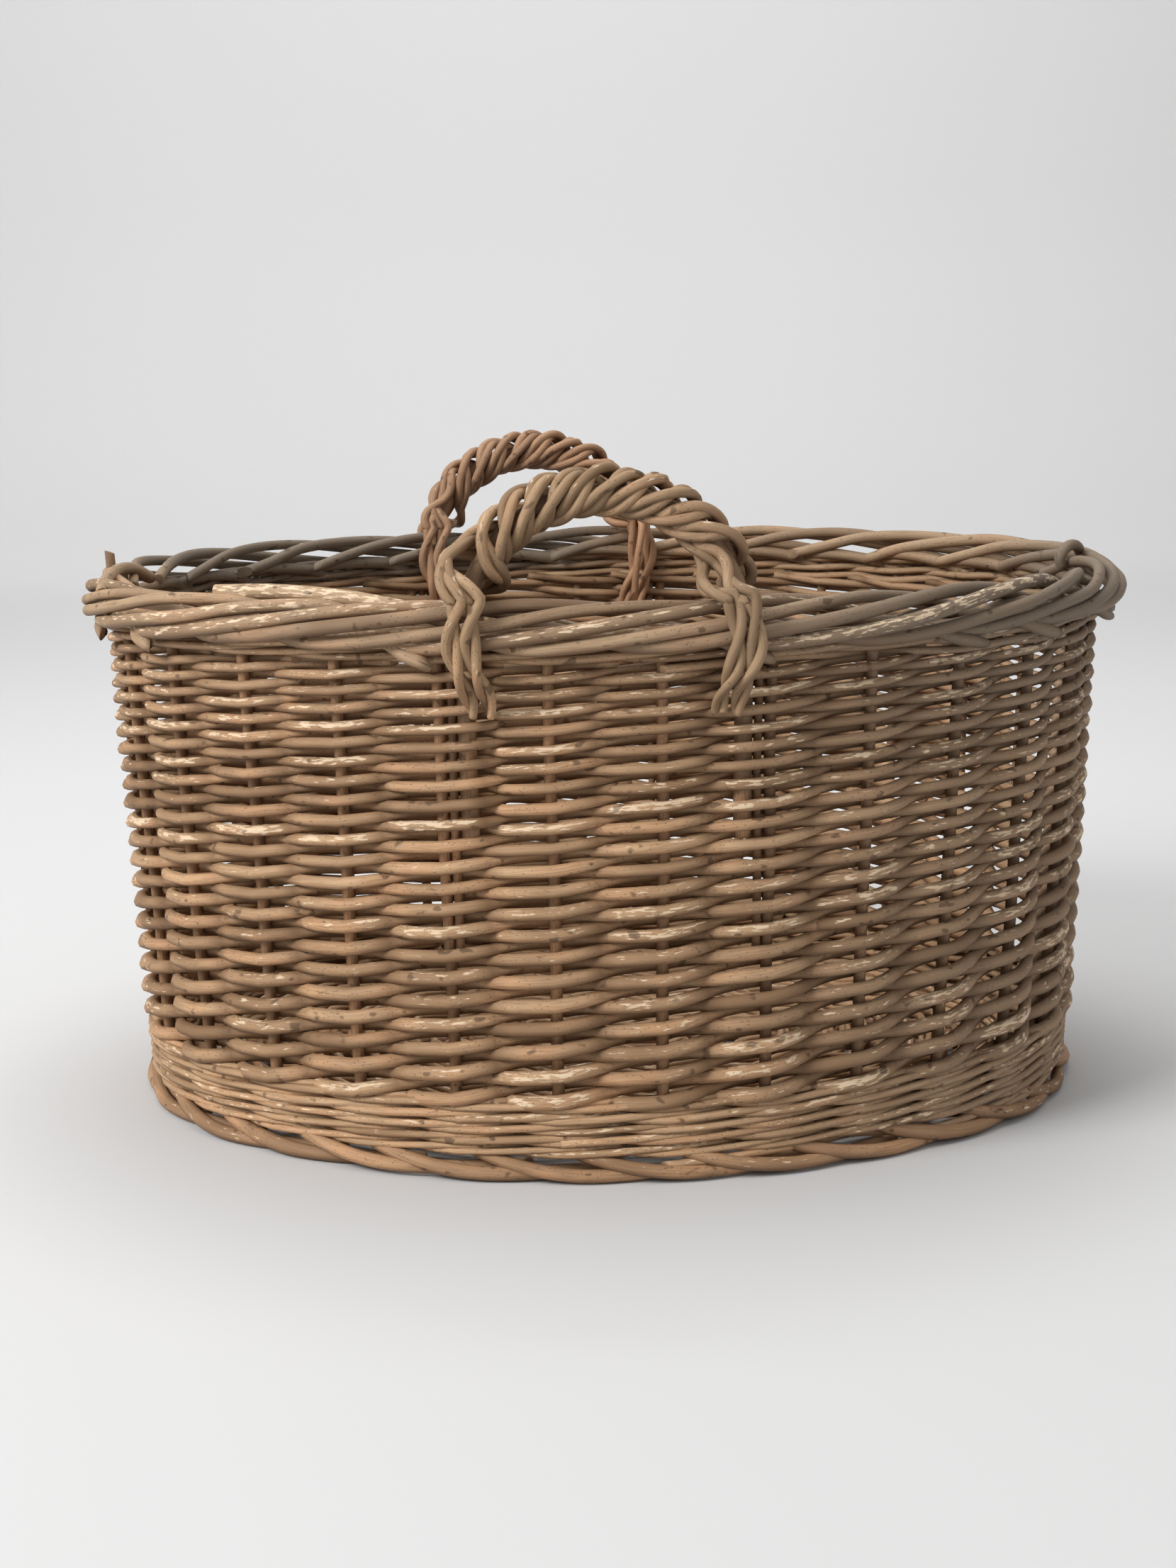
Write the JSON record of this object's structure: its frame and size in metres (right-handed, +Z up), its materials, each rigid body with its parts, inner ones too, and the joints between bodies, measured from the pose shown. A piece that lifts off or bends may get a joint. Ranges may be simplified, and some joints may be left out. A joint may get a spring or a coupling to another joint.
{
  "type": "oval willow basket",
  "caption": "Deep oval willow basket with flared randed sides, a slanting rolled border, a foot border and two fixed roped bow handles for carrying",
  "frame": {"origin": "on the ground, at the middle of the basket's outer box", "axes": "+X along the oval's long axis, +Y from the front handle to the back handle, +Z up out of the mouth"},
  "size_m": [0.65, 0.5507, 0.3949],
  "materials": {
    "weave": "weathered willow, dry, with cream patches where the bark is worn",
    "stick": "willow sticks, darker, dry",
    "foot": "willow, reddish brown, dry",
    "border": "weathered willow, greyed on top, dry",
    "bow": "willow, dry",
    "rope": "twisted willow, split and greyed, dry",
    "fresh_bow": "younger willow, reddish brown, satin",
    "fresh_rope": "younger twisted willow, reddish brown, satin"
  },
  "bodies": {
    "root": {"bottom_cross_sticks": "stick", "bottom_long_sticks": "stick", "bottom_weave": "weave", "foot_border": "foot", "upsett_wale": "weave", "side_stakes": "stick", "siding_lower": "weave", "siding_middle": "weave", "siding_upper": "weave", "top_wale": "weave", "border_outer_rods": "border", "border_middle_rods": "border", "border_inner_rods": "border", "front_handle_bow": "bow", "front_handle_outer_strand": "rope", "front_handle_inner_strand": "rope", "front_bye_stakes": "stick", "back_handle_bow": "fresh_bow", "back_handle_outer_strand": "fresh_rope", "back_handle_inner_strand": "fresh_rope", "back_bye_stakes": "stick", "back_handle_loose_end": "fresh_rope"}
  },
  "joints": []
}
